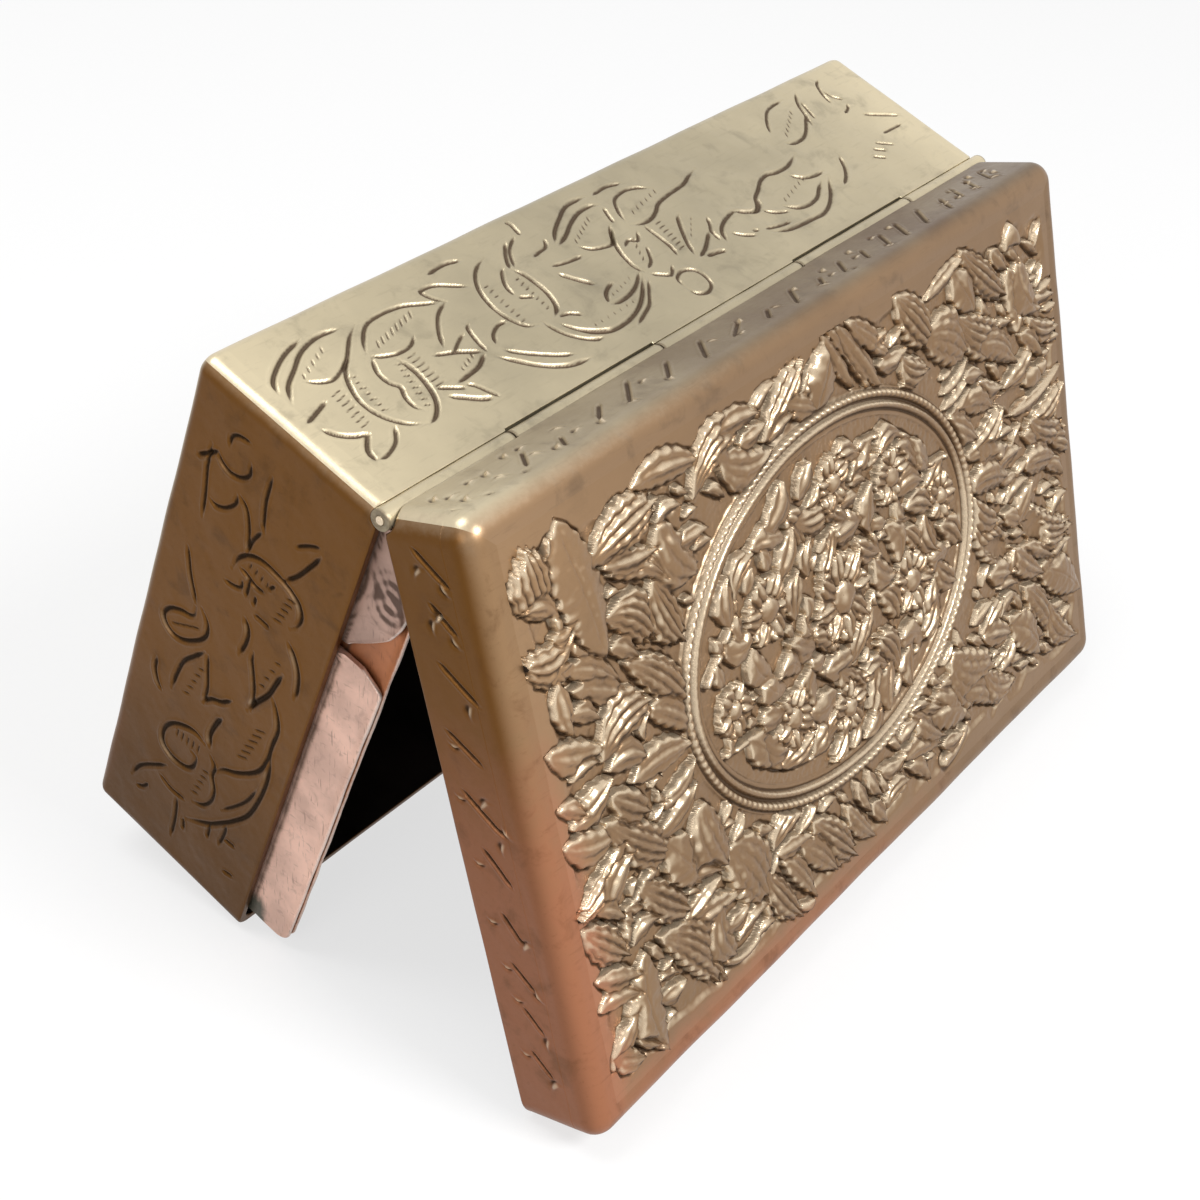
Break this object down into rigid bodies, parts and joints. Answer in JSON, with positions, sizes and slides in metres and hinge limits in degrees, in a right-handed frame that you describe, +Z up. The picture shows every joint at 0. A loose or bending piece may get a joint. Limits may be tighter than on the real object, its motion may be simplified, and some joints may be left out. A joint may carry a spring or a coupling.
{
  "type": "hinged sheet silver box",
  "caption": "Shallow-lidded oblong box of chased sheet silver with a knuckle hinge, standing open like a tent on its two front rims.",
  "frame": {"origin": "midway along the hinge and midway between the farthest points of the two halves, on the ground under the open box", "axes": "+X along the hinge to the right seen from the lid's side, -Y towards the lid and +Y towards the body, +Z up"},
  "size_m": [0.1004, 0.0656, 0.0647],
  "materials": {
    "worn_silver": "worn silver, soft sheen",
    "chased_silver": "chased silver, dark in the hollows",
    "toned_silver": "toned brownish silver",
    "bare_silver": "pale scraped silver",
    "warm_silver": "warm toned silver",
    "hinge_silver": "rubbed silver",
    "pin_silver": "bright rubbed wire"
  },
  "bodies": {
    "body": {"body_bottom_panel": "worn_silver", "body_back_wall": "worn_silver", "body_front_wall": "toned_silver", "body_left_wall": "toned_silver", "body_right_wall": "toned_silver", "body_left_liner": "warm_silver", "body_right_liner": "warm_silver", "body_left_flange": "bare_silver", "body_right_flange": "bare_silver", "body_left_ear": "bare_silver", "body_right_ear": "bare_silver", "body_hinge_bearer": "hinge_silver", "body_knuckle_1": "hinge_silver", "body_knuckle_3": "hinge_silver", "body_knuckle_5": "hinge_silver", "hinge_pin": "pin_silver"},
    "lid": {"lid_top_panel": "chased_silver", "lid_back_wall": "worn_silver", "lid_front_wall": "toned_silver", "lid_left_wall": "toned_silver", "lid_right_wall": "toned_silver", "lid_hinge_bearer": "hinge_silver", "lid_knuckle_2": "hinge_silver", "lid_knuckle_4": "hinge_silver"}
  },
  "joints": [
    {"name": "lid_hinge", "type": "hinge", "parent": "body", "child": "lid", "pos_m": [0, -0.00585, 0.05786], "axis": [-1, 0, 0], "range_deg": [-35.5, 69.5]}
  ]
}
